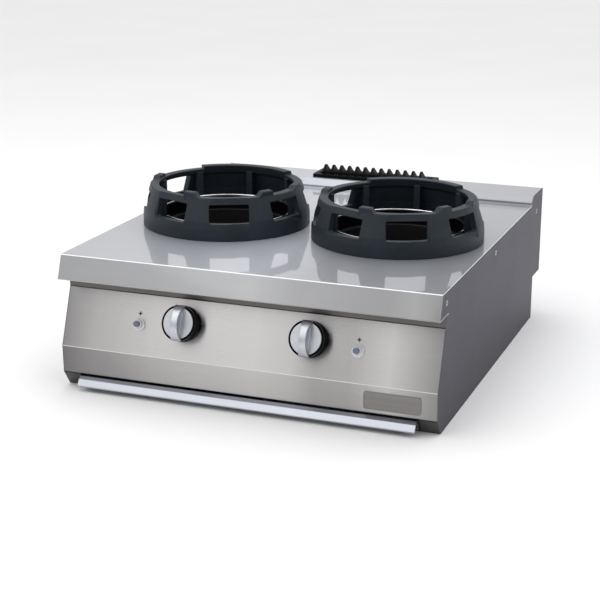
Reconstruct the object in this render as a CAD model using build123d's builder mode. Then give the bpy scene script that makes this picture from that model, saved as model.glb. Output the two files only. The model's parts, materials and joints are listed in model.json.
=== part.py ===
"""Two-burner gas wok range for a modular 900-deep cooking line, in millimetres.

+X is the cook's right, +Y runs to the back and +Z is up.  The origin is in the
middle of the footprint, on the surface that the range stands on.
"""

from build123d import *
from math import atan2, cos, degrees, hypot, radians, sin
import os

os.makedirs("parts", exist_ok=True)

# ------------------------------------------------------------------ driving sizes

# Cabinet
width = 800.0
depth = 900.0
height = 300.0
upstand_rise = 18.0  # rear upstand above the worktop
plate = 2.0  # worktop sheet
sheet = 1.5  # every other cabinet sheet
fold_radius = 2.5  # outer radius of a fold
touch = 0.02  # gap between two sheets that lie on each other

# Front profile, from the worktop's edge down
fascia_drop = 50.0
fascia_rake = 18.0
recess_gap = 26.0
recess_depth = 50.0
crease_z = 90.0
crease_setback = 7.5
toe_setback = 9.0
chamfer_run = 23.5
toe_flange = 16.0
beam_flange = 25.0
fascia_return = 15.0
nose_gap = 0.3  # side panel inside the folded front edge
panel_hole_gap = 0.3

# Rear profile
overhang = 71.0
overhang_z = 100.0
cap_depth = 95.5
cap_rake = 20.5
cap_foot = 6.0
cap_lap = 20.0
cap_skirt = 15.0
rear_panel_gap = 6.0  # below the cap's top sheet
vent_z = 145.0
vent_length = 70.0
vent_height = 7.0
vent_pitch_x = 90.0
vent_pitch_z = 18.0
vent_columns = 7
vent_rows = 3

# Wok openings
ring_spacing = 392.0
ring_centre_y = -56.0
ring_turns = {"left": 2.5, "right": 0.5}  # each ring is set down by hand
collar_radius = 142.0
collar_rise = 27.0
collar_wall = 1.5
collar_bead = 2.2
collar_flange = 14.0
collar_gap = 0.3  # worktop hole round the collar

# Wok ring
ring_radius = 182.5
ring_lift = 0.3  # foot above the worktop
ring_band = 23.0
ring_shoulder_z = 40.0
ring_shoulder_in = 2.0
ring_rim_z = 88.0
ring_rim_radius = 165.5
ring_wall = 14.0
rim_lip = 5.5  # inwards from the wall
rim_lip_height = 10.0
ring_facet_in = 6.5
ring_facet_width = 92.0
ring_edge = 2.0
ring_shoulder_round = 10.0
window_width = 84.0
window_low = 36.0
window_high = 74.5
window_corner = 3.0
rib_width = 14.0
rib_clearance = 2.0
lug_width = 25.0
lug_depth = 16.0
lug_low = 77.0
lug_round = 3.0
lug_slope = 8.0
lug_rise = 10.5
side_lug_rise = 7.0
lug_angles = {-90.0: side_lug_rise, -7.8: lug_rise, 52.8: lug_rise, 90.0: side_lug_rise}
back_arc = 82.0
back_rise = 7.0
sectors = 8
closed_sectors = (3, 4)  # the two that face the rear

# Burner
bowl_radius = 131.0
bowl_depth = 104.0
bowl_hole = 62.0
bowl_lip = 6.0
spider_reach = 112.0
spider_arm = 26.0
spider_thickness = 5.0
spider_arms = 3
spider_hub = 40.0
spider_pad = 62.0
burner_radius = 68.0
burner_height = 34.0
burner_wall = 5.0
neck_radius = 24.0
neck_clearance = 0.5
mixer_radius = 21.0
mixer_wall = 4.0
mixer_length = 230.0
bell_radius = 30.0
bell_length = 18.0
cap_thickness = 12.0
cap_lip = 6.0
cap_gap = 0.3
cap_port_width = 3.0
cap_port_depth = 5.0
cap_ceiling = 6.0
cap_ports = 30
cap_bore = 20.0
injector_radius = 9.0
injector_length = 26.0
injector_gap = 12.0
injector_orifice = 1.6
injector_cone = 4.0
yoke_thickness = 6.0
yoke_width = 24.0
pilot_radius = 4.5
pilot_height = 52.0
thermocouple_radius = 3.0
thermocouple_height = 60.0
electrode_radius = 4.0
electrode_height = 50.0
probe_circle = 98.0
probe_collar = 2.0
probe_shoulder = 0.6  # tip radii over the probe's own
probe_point = 0.3
probe_step = 13.0  # degrees between pilot, thermocouple and electrode

# Control panel fittings
knob_spacing = 270.0
knob_up = 73.5  # along the panel from the crease
knob_radius = 36.0
knob_base_radius = 37.0
knob_waist_radius = 33.5
knob_face_out = 30.0
knob_panel_gap = 4.5
knob_rim = 8.0
knob_flare = 3.0
face_radius = 31.5
face_thickness = 3.0
grip_half_base = 11.0
grip_half_top = 6.8
grip_rise = 22.0
grip_round = 1.5
knob_round = 1.2
face_gap = 0.1
face_proud = 0.4
pointer_length = 42.0
pointer_width = 1.6
pointer_up = 9.0
knob_travel = 3.0
spindle_radius = 4.0
spindle_clearance = 0.05
rotor_radius = 6.5
rotor_clearance = 0.2
rotor_set = 6.0  # behind the panel's face
rotor_floor = 8.0
nipple_length = 8.0
outlet_set = 44.0  # gas outlet behind the panel's face
valve_radius = 16.0
valve_front = 14.0  # behind the panel's face
valve_length = 46.0
valve_shoulder = 2.0
valve_neck_radius = 10.0
panel_hole_radius = 6.5
igniter_spacing = 466.0
igniter_up = 62.0
bezel_radius = 13.0
bezel_flange = 3.0
bezel_barrel_radius = 9.5
bezel_out = 10.0
bezel_edge = 1.2
button_radius = 6.0
button_out = 18.0
button_edge = 1.5
button_clearance = 0.1
button_travel = 3.0
button_stem = 4.0
bezel_back = 10.0
igniter_radius = 11.0
igniter_length = 42.0

# Gas pipes
manifold_radius = 10.65
manifold_bore = 8.0
manifold_drop = 38.0
nipple_radius = 7.0
branch_radius = 5.0
branch_bore = 4.0
branch_bend = 16.0
supply_inset = 38.0  # supply pipe from the cabinet's right side
supply_z = 60.0
supply_bend = 28.0
supply_fall = 75.0
manifold_end = 30.0
supply_out = 34.0
thread_radius = 10.48
thread_length = 20.0
nut_across = 30.0
nut_thickness = 8.0

# Nameplate
badge_width = 115.0
badge_height = 36.0
badge_thickness = 1.6
badge_corner = 5.0
badge_rim = 2.0
badge_rim_depth = 0.6
badge_right_gap = 33.0
badge_up = 26.5  # along the lower face from the toe

# Drip tray
tray_half_width = 358.0
tray_clearance = 1.5
tray_wall = 1.2
tray_height = 24.0
tray_back_gap = 50.0
tray_seat_gap = 0.3
tray_slot_gap = 2.4  # above the handle, under the control panel's flange
runner_flange = 24.0
runner_lip = 11.0
runner_set = 3.0  # behind the chamfer's heel
handle_proud = 11.0  # in front of the fascia
handle_drop = 19.5
handle_thickness = 1.8
handle_hem = 6.6
handle_hem_rise = 4.0
handle_break = 1.0  # where it bends down, in front of the toe
handle_brow_drop = 4.5
handle_brow_proud = 1.0  # in front of the fascia
handle_end_set = 3.0
handle_half_width = 360.0

# Flue
duct_length = 105.0
flue_half_width = 142.0
flue_margin = 7.0
grille_half_width = 150.0
grille_front_set = 10.5
grille_back_set = 14.0
grille_bar = 12.0
grille_thickness = 8.0
grille_lift = 0.3
grille_fins = 13
grille_pitch = 20.1
grille_fin_base = 12.0
grille_fin_top = 4.5
grille_rise = 31.0  # tooth tips above the cap
grille_shoulder = 17.0  # where a tooth's front turns back
grille_tip_set = 12.0
grille_tip_length = 6.0
grille_tooth_length = 44.0
grille_tip_round = 4.0
grille_edge = 1.2
grille_tab = 4.0
grille_tab_gap = 0.5
grille_tab_drop = 7.0

# Fasteners
insert_radius = 5.5
insert_bore = 3.4
insert_flange_radius = 7.5
insert_length = 14.0
insert_z = 257.0
insert_ys = (-401.0, -13.0, 391.0)
screw_radius = 2.5
screw_head_radius = 4.5
screw_head = 2.6
screw_length = 12.0
screw_hole = 2.8
screw_zs = (130.0, 195.0, 260.0)
screw_inset = 16.0
flange_width = 28.0

# ------------------------------------------------------------------ derived places

front_y = -depth / 2
rear_y = depth / 2
half_width = width / 2
inner_half = half_width - sheet
between = inner_half - touch
tray_z = 2 * sheet + tray_seat_gap
tray_top = tray_z + tray_height
grip_top = tray_top + handle_thickness + touch
toe_z = grip_top + tray_slot_gap + sheet
worktop_z = height - upstand_rise
fascia_z = worktop_z - fascia_drop
recess_y = front_y + recess_depth
return_y = recess_y + fascia_return
panel_top = (recess_y, fascia_z - recess_gap)
crease = (front_y + crease_setback, crease_z)
toe = (front_y + toe_setback, toe_z)
heel_y = toe[0] + chamfer_run
base_rear_y = rear_y - overhang
cap_front_y = rear_y - cap_depth
worktop_rear_y = cap_front_y - cap_rake
slope_z = worktop_z + cap_foot
sides = {"left": -1, "right": 1}


def save(piece, name):
    """Label a finished piece and write it."""
    piece.part.label = name
    export_step(piece.part, f"parts/{name}.step")


def folded(points, thickness, side, radius=fold_radius):
    """Section of a folded sheet in the YZ plane, built from its outer line inwards."""
    with BuildSketch(Plane.YZ, mode=Mode.PRIVATE) as section:
        with BuildLine():
            FilletPolyline(*points, radius=radius)
            offset(amount=thickness, side=side)
        make_face()
    return section.sketch


def on_face(low, high, x, up, out=0.0):
    """Plane on a raked front face: local Y climbs the face and local Z leaves it."""
    lean = atan2(high[0] - low[0], high[1] - low[1])
    climb = Vector(0, sin(lean), cos(lean))
    leave = Vector(0, -cos(lean), sin(lean))
    return Plane(origin=Vector(x, *low) + climb * up + leave * out, x_dir=(1, 0, 0), z_dir=leave)


def on_panel(x, up, out=0.0):
    """Plane on the control panel, measured up from the crease."""
    return on_face(crease, panel_top, x, up, out)


def at_ring(sign, z, turn=0.0):
    """Plane in the middle of a wok opening; its local -Y looks to the front."""
    return Plane(origin=(sign * ring_spacing / 2, ring_centre_y, z)).rotated((0, 0, turn))


def lathe_plane(place):
    """Plane for a turned profile: local X is the radius, local Y is the place's axis."""
    return Plane(origin=place.origin, x_dir=place.x_dir, z_dir=-place.y_dir)


def chamfer_y(z):
    """Where the chamfered front stands at a height."""
    return heel_y - chamfer_run * z / toe_z


def turned(points, place):
    """Solid turned about a place's axis from (radius, height) points."""
    with BuildPart(mode=Mode.PRIVATE) as piece:
        with BuildSketch(lathe_plane(place)):
            with BuildLine():
                Polyline(*points, close=True)
            make_face()
        revolve(axis=Axis(place.origin, place.z_dir))
    return piece.part


def tube(path_points, bend, outer, bore):
    """Bent pipe along a path of straight runs and arcs."""
    with BuildPart(mode=Mode.PRIVATE) as piece:
        with BuildLine() as path:
            FilletPolyline(*path_points, radius=bend)
        start = Plane(origin=path.line @ 0, z_dir=path.line % 0)
        with BuildSketch(start):
            Circle(outer)
            Circle(bore, mode=Mode.SUBTRACT)
        sweep()
    return piece.part


# ------------------------------------------------------------------ cabinet

with BuildPart() as worktop:
    top_line = [
        (return_y, fascia_z),
        (front_y, fascia_z),
        (front_y + fascia_rake, worktop_z),
        (worktop_rear_y - plate, worktop_z),
        (worktop_rear_y - plate, slope_z),
    ]
    extrude(folded(top_line, plate, Side.RIGHT), amount=half_width, both=True)
    with BuildSketch(Plane.XY.offset(worktop_z)):
        with Locations((-ring_spacing / 2, ring_centre_y), (ring_spacing / 2, ring_centre_y)):
            Circle(collar_radius + collar_gap)
    extrude(amount=-plate, mode=Mode.SUBTRACT)
save(worktop, "worktop")

# The side panels stand under the worktop's sheet and close the ends of the rest.
under_top = worktop_z - plate - touch
over_return = fascia_z + plate + nose_gap


def behind_fascia(z):
    """Where a side panel's front edge stands behind the raked fascia sheet."""
    sheet_run = (plate + nose_gap) * hypot(fascia_drop, fascia_rake)
    return front_y + (fascia_rake * (z - fascia_z) + sheet_run) / fascia_drop


side_outline = [
    (behind_fascia(under_top), under_top),
    (behind_fascia(over_return), over_return),
    (return_y + touch, over_return),
    (return_y + touch, fascia_z - touch),
    (recess_y, fascia_z - touch),
    panel_top,
    crease,
    toe,
    (heel_y, 0),
    (base_rear_y, 0),
    (base_rear_y, overhang_z),
    (rear_y, overhang_z),
    (rear_y, height),
    (cap_front_y, height),
    (worktop_rear_y + touch, slope_z),
    (worktop_rear_y + touch, under_top),
]
rear_wall_y = rear_y - sheet - touch  # outer face, behind the cap's skirt
screw_x = inner_half - screw_inset
for name, sign in sides.items():
    with BuildPart() as side_panel:
        with BuildSketch(Plane.YZ.offset(sign * inner_half)):
            with BuildLine():
                Polyline(*side_outline, close=True)
            make_face()
        extrude(amount=sign * sheet)
        with BuildSketch(Plane.XY.offset(sheet + touch)):
            with Locations((sign * inner_half, heel_y + flange_width)):
                Rectangle(
                    flange_width,
                    base_rear_y - heel_y - 2 * flange_width,
                    align=(Align.MAX if sign > 0 else Align.MIN, Align.MIN),
                )
        extrude(amount=sheet)
        with BuildSketch(Plane.XZ.offset(-(rear_wall_y - sheet - touch))):
            with Locations((sign * inner_half, overhang_z + flange_width)):
                Rectangle(
                    flange_width,
                    height - overhang_z - 2 * flange_width,
                    align=(Align.MAX if sign > 0 else Align.MIN, Align.MIN),
                )
        extrude(amount=sheet)
        with BuildSketch(Plane.XZ.offset(-rear_y)):
            with Locations(*[(sign * screw_x, z) for z in screw_zs]):
                Circle(screw_radius + touch)
        extrude(amount=flange_width, mode=Mode.SUBTRACT)
        with BuildSketch(Plane.YZ.offset(sign * half_width)):
            with Locations(*[(y, insert_z) for y in insert_ys]):
                Circle(insert_radius + touch)
        extrude(amount=-sign * sheet, mode=Mode.SUBTRACT)
    save(side_panel, f"side_panel_{name}")

with BuildPart() as front_beam:
    beam_line = [
        (recess_y + beam_flange, panel_top[1] + touch),
        (recess_y, panel_top[1] + touch),
        (recess_y, fascia_z - touch),
        (recess_y + beam_flange, fascia_z - touch),
    ]
    extrude(folded(beam_line, sheet, Side.RIGHT), amount=between, both=True)
save(front_beam, "front_beam")

with BuildPart() as control_panel:
    panel_line = [panel_top, crease, toe, (toe[0] + toe_flange, toe[1])]
    extrude(folded(panel_line, sheet, Side.LEFT), amount=between, both=True)
    for sign in sides.values():
        with BuildSketch(on_panel(sign * knob_spacing / 2, knob_up)):
            Circle(panel_hole_radius)
        extrude(amount=-2 * sheet, mode=Mode.SUBTRACT)
        with BuildSketch(on_panel(sign * igniter_spacing / 2, igniter_up)):
            Circle(bezel_barrel_radius + panel_hole_gap)
        extrude(amount=-2 * sheet, mode=Mode.SUBTRACT)
save(control_panel, "control_panel")

with BuildPart() as base_pan:
    pan_top = toe_z - sheet - touch  # under the control panel's flange
    pan_line = [(chamfer_y(pan_top), pan_top), (heel_y, 0), (base_rear_y, 0)]
    extrude(folded(pan_line, sheet, Side.LEFT), amount=between, both=True)
    with BuildSketch(Plane.YZ):
        with Locations((heel_y, fold_radius)):
            Rectangle(2 * chamfer_run + 2 * sheet, toe_z, align=(Align.CENTER, Align.MIN))
    extrude(amount=handle_half_width + tray_clearance, both=True, mode=Mode.SUBTRACT)
save(base_pan, "base_pan")

supply_x = inner_half - supply_inset
with BuildPart() as rear_panel:
    rear_line = [
        (base_rear_y, sheet + touch),
        (base_rear_y, overhang_z),
        (rear_wall_y, overhang_z),
        (rear_wall_y, height - sheet - rear_panel_gap),
    ]
    extrude(folded(rear_line, sheet, Side.LEFT), amount=between, both=True)
    with BuildSketch(Plane.XZ.offset(-rear_y)):
        with Locations((0, vent_z)):
            with GridLocations(vent_pitch_x, vent_pitch_z, vent_columns, vent_rows):
                SlotOverall(vent_length, vent_height)
        with Locations(*[(sign * screw_x, z) for sign in sides.values() for z in screw_zs]):
            Circle(screw_hole)
    extrude(amount=4 * sheet, mode=Mode.SUBTRACT)
    with BuildSketch(Plane.XZ.offset(-base_rear_y)):
        with Locations((supply_x, supply_z)):
            Circle(manifold_radius + panel_hole_gap)
    extrude(amount=2 * sheet, mode=Mode.SUBTRACT)
save(rear_panel, "rear_panel")

# ------------------------------------------------------------------ flue

grille_front_y = cap_front_y + grille_front_set
grille_back_y = rear_y - grille_back_set
grille_depth = grille_back_y - grille_front_y
grille_mid_y = (grille_back_y + grille_front_y) / 2
flue_depth = grille_depth - 2 * flue_margin

with BuildPart() as flue_cap:
    cap_line = [
        (worktop_rear_y + touch, slope_z - cap_lap),
        (worktop_rear_y + touch, slope_z),
        (cap_front_y, height),
        (rear_y, height),
        (rear_y, height - cap_skirt),
    ]
    extrude(folded(cap_line, sheet, Side.RIGHT), amount=between, both=True)
    with BuildSketch(Plane.XY.offset(height)):
        with Locations((0, grille_mid_y)):
            RectangleRounded(2 * flue_half_width, flue_depth, fold_radius)
    extrude(amount=-2 * sheet, mode=Mode.SUBTRACT)
save(flue_cap, "flue_cap")

with BuildPart() as flue_duct:
    with BuildSketch(Plane.XY.offset(height - sheet - touch)):
        with Locations((0, grille_mid_y)):
            Rectangle(2 * flue_half_width + 2 * sheet, flue_depth + 2 * sheet)
            Rectangle(2 * flue_half_width, flue_depth, mode=Mode.SUBTRACT)
    extrude(amount=-duct_length)
save(flue_duct, "flue_duct")

grille_z = height + grille_lift
grille_top = grille_z + grille_thickness

# Bars across the flue, each with a tooth that falls away towards the rear.
with BuildPart() as fins:
    with BuildSketch(Plane.XZ.offset(-grille_back_y + grille_edge)) as fin_ends:
        with GridLocations(grille_pitch, 0, grille_fins, 1):
            Polygon(
                (-grille_fin_base / 2, grille_z),
                (-grille_fin_top / 2, height + grille_rise),
                (grille_fin_top / 2, height + grille_rise),
                (grille_fin_base / 2, grille_z),
                align=None,
            )
        fillet(fin_ends.vertices().group_by(Axis.Y)[-1], grille_edge)
    extrude(amount=grille_depth - 2 * grille_edge)
    with BuildSketch(Plane.YZ) as fin_side:
        with BuildLine():
            tooth_y = grille_front_y + grille_edge
            Polyline(
                (tooth_y, grille_z),
                (tooth_y, height + grille_shoulder),
                (grille_front_y + grille_tip_set, height + grille_rise),
                (grille_front_y + grille_tip_set + grille_tip_length, height + grille_rise),
                (grille_front_y + grille_tooth_length, grille_top),
                (grille_back_y - grille_edge, grille_top),
                (grille_back_y - grille_edge, grille_z),
                close=True,
            )
        make_face()
        fillet(fin_side.vertices().group_by(Axis.Y)[-1], grille_tip_round)
    extrude(amount=grille_half_width, both=True, mode=Mode.INTERSECT)

with BuildPart() as flue_grille:
    with BuildSketch(Plane.XY.offset(grille_z)):
        with Locations((0, grille_mid_y)):
            RectangleRounded(2 * grille_half_width, grille_depth, grille_bar / 3)
            Rectangle(
                2 * (grille_half_width - grille_bar),
                grille_depth - 2 * grille_bar,
                mode=Mode.SUBTRACT,
            )
    extrude(amount=grille_thickness)
    chamfer(flue_grille.edges().group_by(Axis.Z)[-1], grille_edge)
    add(fins.part)
    with BuildSketch(Plane.XY.offset(grille_z)):
        with Locations((0, grille_mid_y)):
            with GridLocations(2 * flue_half_width - grille_tab - 2 * grille_tab_gap, 0, 2, 1):
                Rectangle(grille_tab, flue_depth / 2)
    extrude(amount=-grille_tab_drop)
save(flue_grille, "flue_grille")

# ------------------------------------------------------------------ drip tray

tray_rear_y = base_rear_y - tray_back_gap
tray_front_wall = tray_wall * hypot(chamfer_run, toe_z) / toe_z  # measured level
for name, sign in sides.items():
    with BuildPart() as tray_runner:
        wall_x = tray_half_width + tray_clearance
        lip_z = tray_top + tray_clearance
        with BuildSketch(Plane.XZ.offset(-(heel_y + runner_set))):
            with BuildLine():
                FilletPolyline(
                    (sign * (wall_x + sheet - runner_flange), sheet + touch),
                    (sign * (wall_x + sheet), sheet + touch),
                    (sign * (wall_x + sheet), lip_z + sheet),
                    (sign * (wall_x + sheet - runner_lip), lip_z + sheet),
                    radius=fold_radius,
                )
                offset(amount=sheet, side=Side.LEFT if sign > 0 else Side.RIGHT)
            make_face()
        extrude(amount=-(tray_rear_y - heel_y - runner_set + 2 * sheet))
        with BuildSketch(Plane.XZ.offset(-(tray_rear_y + tray_seat_gap))):
            with Locations((sign * (wall_x + touch), tray_z)):
                Rectangle(
                    runner_lip,
                    tray_height,
                    align=(Align.MAX if sign > 0 else Align.MIN, Align.MIN),
                )
        extrude(amount=-sheet)
    save(tray_runner, f"tray_runner_{name}")

with BuildPart() as drip_tray:
    with BuildSketch(Plane.YZ):
        with BuildLine():
            Polyline(
                (chamfer_y(tray_z), tray_z),
                (tray_rear_y, tray_z),
                (tray_rear_y, tray_top),
                (chamfer_y(tray_top), tray_top),
                close=True,
            )
        make_face()
    extrude(amount=tray_half_width, both=True)
    fillet(drip_tray.edges().filter_by(Axis.X).group_by(Axis.Z)[0], fold_radius)
    with BuildSketch(Plane.YZ):
        with BuildLine():
            Polyline(
                (chamfer_y(tray_z + tray_wall) + tray_front_wall, tray_z + tray_wall),
                (tray_rear_y - tray_wall, tray_z + tray_wall),
                (tray_rear_y - tray_wall, tray_top + tray_wall),
                (chamfer_y(tray_top + tray_wall) + tray_front_wall, tray_top + tray_wall),
                close=True,
            )
        make_face()
    extrude(amount=tray_half_width - tray_wall, both=True, mode=Mode.SUBTRACT)
save(drip_tray, "drip_tray")

with BuildPart() as tray_handle:
    grip_low = grip_top - handle_drop
    grip_front = front_y - handle_proud
    handle_line = [
        (chamfer_y(tray_top) + tray_wall, grip_top),
        (toe[0] - handle_break, grip_top),
        (front_y - handle_brow_proud, grip_top - handle_brow_drop),
        (grip_front, grip_low),
        (grip_front + handle_hem, grip_low),
        (grip_front + handle_hem + handle_hem_rise / 2, grip_low + handle_hem_rise),
    ]
    extrude(folded(handle_line, handle_thickness, Side.LEFT), amount=handle_half_width, both=True)
    end_line = [
        (chamfer_y(grip_low + fold_radius) - touch, grip_low + fold_radius),
        (chamfer_y(tray_top) - touch, tray_top),
        (chamfer_y(tray_top) - touch, grip_top - handle_thickness / 2),
        (toe[0] - handle_break, grip_top - handle_thickness / 2),
        (front_y - handle_brow_proud + handle_thickness / 2, grip_top - handle_brow_drop),
        (grip_front + fold_radius, grip_low + fold_radius),
    ]
    for sign in sides.values():
        with BuildSketch(Plane.YZ.offset(sign * (tray_half_width - handle_end_set))):
            with BuildLine():
                Polyline(*end_line, close=True)
            make_face()
        extrude(amount=sign * handle_thickness)
save(tray_handle, "tray_handle")

# ------------------------------------------------------------------ nameplate

with BuildPart() as nameplate:
    badge_x = half_width - badge_right_gap - badge_width / 2
    with BuildSketch(on_face(toe, crease, badge_x, badge_up, touch)):
        RectangleRounded(badge_width, badge_height, badge_corner)
    extrude(amount=badge_thickness)
    with BuildSketch(on_face(toe, crease, badge_x, badge_up, badge_thickness + touch)):
        RectangleRounded(
            badge_width - 2 * badge_rim,
            badge_height - 2 * badge_rim,
            badge_corner - badge_rim,
        )
    extrude(amount=-badge_rim_depth, mode=Mode.SUBTRACT)
save(nameplate, "nameplate")

# ------------------------------------------------------------------ wok openings

collar_z = worktop_z - plate - touch - collar_wall  # underside of the collar's flange
bowl_top = collar_z - touch
bowl_floor = bowl_top - bowl_depth
spider_z = bowl_floor + sheet + touch
burner_z = spider_z + spider_thickness + touch
mixer_z = on_panel(0, knob_up, -outlet_set).origin.Z  # level with the valves' outlets
mixer_drop = burner_z - mixer_z
ring_z = worktop_z + ring_lift


def sector_angle(index):
    """Middle of a ring sector, counted round from the front towards the right."""
    return 360 / sectors * (index + 0.5)


def around(place, angle, radius, z):
    """Upright plane on a circle; local Z looks outward and local Y looks up."""
    turn = radians(angle)
    outward = place.x_dir * sin(turn) - place.y_dir * cos(turn)
    return Plane(
        origin=place.origin + outward * radius + Vector(0, 0, z),
        x_dir=Vector(0, 0, 1).cross(outward),
        z_dir=outward,
    )


def radial(place, angle):
    """Upright plane through the ring's axis; local X leads outward, local Y up."""
    face = around(place, angle, 0, 0)
    return Plane(origin=face.origin, x_dir=face.z_dir, z_dir=-face.x_dir)


def ring_outside(z):
    """Radius of the ring's posts at a height above its foot."""
    share = (z - ring_shoulder_z) / (ring_rim_z - ring_shoulder_z)
    low = ring_radius - ring_shoulder_in
    return low + (ring_rim_radius - low) * share


ring_lean = degrees(atan2(ring_outside(0) - ring_outside(1), 1))
back_z = ring_rim_z + back_rise
rim_lip_z = ring_rim_z - rim_lip_height
rib_top = rim_lip_z + rim_lip_height / 3
cap_seat_radius = burner_radius - burner_wall - neck_clearance


def make_lug(place, angle, rise):
    """Wok rest on the rim, sloping down towards the middle of the front window."""
    towards = 1 if angle < sector_angle(0) else -1
    with BuildPart(mode=Mode.PRIVATE) as lug:
        with BuildSketch(around(place, angle, ring_rim_radius, 0)):
            with BuildLine():
                Polyline(
                    (-towards * lug_width / 2, lug_low),
                    (-towards * lug_width / 2, ring_rim_z + rise),
                    (towards * lug_width / 2, ring_rim_z + rise),
                    (towards * (lug_width / 2 + lug_slope), ring_rim_z),
                    (towards * (lug_width / 2 + lug_slope), lug_low),
                    close=True,
                )
            make_face()
        extrude(amount=-lug_depth)
        fillet(lug.edges().filter_by(GeomType.LINE).group_by(Axis.Z)[-1], lug_round)
    return lug.part


for name, sign in sides.items():
    place = at_ring(sign, ring_z, ring_turns[name])
    lugs = [make_lug(place, angle, rise) for angle, rise in lug_angles.items()]
    ring_axis = Axis(place.origin, place.z_dir)
    with BuildPart() as wok_ring:
        with BuildSketch(lathe_plane(place)) as wall:
            with BuildLine():
                Polyline(
                    (ring_radius - ring_wall, 0),
                    (ring_radius, 0),
                    (ring_radius, ring_band),
                    (ring_outside(ring_shoulder_z), ring_shoulder_z),
                    (ring_outside(back_z), back_z),
                    (ring_outside(back_z) - ring_wall - rim_lip, back_z),
                    (ring_outside(rim_lip_z) - ring_wall - rim_lip, rim_lip_z),
                    (ring_outside(rim_lip_z - rim_lip) - ring_wall, rim_lip_z - rim_lip),
                    (ring_outside(ring_shoulder_z) - ring_wall, ring_shoulder_z),
                    (ring_radius - ring_wall, ring_band),
                    close=True,
                )
            make_face()
            levels = wall.vertices().group_by(Axis.Y)
            fillet(levels[-1], ring_edge)
            fillet(levels[1], ring_shoulder_round)
        revolve(axis=ring_axis)

        # Only the closed back keeps its full height.
        with BuildSketch(radial(place, 180 + back_arc / 2)):
            with Locations((ring_rim_radius, ring_rim_z)):
                Rectangle(4 * ring_wall, 2 * back_rise, align=(Align.CENTER, Align.MIN))
        revolve(axis=ring_axis, revolution_arc=360 - back_arc, mode=Mode.SUBTRACT)
        rim_z = ring_z + ring_rim_z
        rims = wok_ring.edges().filter_by(GeomType.CIRCLE)
        fillet(rims.filter_by_position(Axis.Z, rim_z - touch, rim_z + touch), ring_edge)

        # Flat panels between the posts, leaving a ledge above the foot band.
        for index in range(sectors):
            flat_radius = ring_outside(window_low) - ring_facet_in
            flat = around(place, sector_angle(index), flat_radius, window_low)
            with BuildSketch(flat.rotated((-ring_lean, 0, 0))):
                Rectangle(ring_facet_width, 2 * ring_rim_z, align=(Align.CENTER, Align.MIN))
            extrude(amount=ring_wall, mode=Mode.SUBTRACT)

        # Upright ribs behind the posts centre the ring on the collar.
        for index in range(sectors):
            with BuildSketch(radial(place, 360 / sectors * index)):
                with BuildLine():
                    Polyline(
                        (collar_radius + rib_clearance, 0),
                        (ring_radius - ring_wall / 2, 0),
                        (ring_radius - ring_wall / 2, ring_band),
                        (ring_outside(ring_shoulder_z) - ring_wall / 2, ring_shoulder_z),
                        (ring_outside(rib_top) - ring_wall / 2, rib_top),
                        (collar_radius + rib_clearance, rib_top),
                        close=True,
                    )
                make_face()
            extrude(amount=rib_width / 2, both=True)

        for lug in lugs:
            add(lug)

        # Windows in every sector but the closed ones at the back.
        for index in range(sectors):
            if index not in closed_sectors:
                middle = (window_low + window_high) / 2
                with BuildSketch(around(place, sector_angle(index), collar_radius, middle)):
                    RectangleRounded(window_width, window_high - window_low, window_corner)
                extrude(amount=ring_radius - collar_radius + ring_wall, mode=Mode.SUBTRACT)
    save(wok_ring, f"wok_ring_{name}")

    with BuildPart() as collar:
        place = at_ring(sign, collar_z)
        wall_radius = collar_radius - collar_wall / 2
        add(
            turned(
                [
                    (collar_radius - collar_wall, 0),
                    (collar_radius + collar_flange, 0),
                    (collar_radius + collar_flange, collar_wall),
                    (collar_radius, collar_wall),
                    (collar_radius, worktop_z + collar_rise - collar_z),
                    (collar_radius - collar_wall, worktop_z + collar_rise - collar_z),
                ],
                place,
            )
        )
        with BuildSketch(lathe_plane(place)):
            with Locations((wall_radius, worktop_z + collar_rise - collar_z)):
                Circle(collar_bead)
        revolve(axis=Axis(place.origin, place.z_dir))
    save(collar, f"collar_{name}")

    with BuildPart() as bowl:
        add(
            turned(
                [
                    (bowl_radius - sheet, 0),
                    (collar_radius + collar_flange, 0),
                    (collar_radius + collar_flange, -sheet),
                    (bowl_radius, -sheet),
                    (bowl_radius, -bowl_depth),
                    (bowl_hole + sheet, -bowl_depth),
                    (bowl_hole + sheet, -bowl_depth - bowl_lip),
                    (bowl_hole, -bowl_depth - bowl_lip),
                    (bowl_hole, sheet - bowl_depth),
                    (bowl_radius - sheet, sheet - bowl_depth),
                ],
                at_ring(sign, bowl_top),
            )
        )
    save(bowl, f"burner_bowl_{name}")

    with BuildPart() as spider:
        with BuildSketch(at_ring(sign, spider_z)):
            Circle(spider_hub)
            with PolarLocations(0, spider_arms, start_angle=-90):
                with Locations((spider_reach / 2, 0)):
                    Rectangle(spider_reach, spider_arm)
            with Locations((0, -probe_circle)):
                RectangleRounded(spider_pad, spider_arm, spider_arm / 4)
            Circle(neck_radius + neck_clearance, mode=Mode.SUBTRACT)
        extrude(amount=spider_thickness)
    save(spider, f"burner_spider_{name}")

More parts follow.
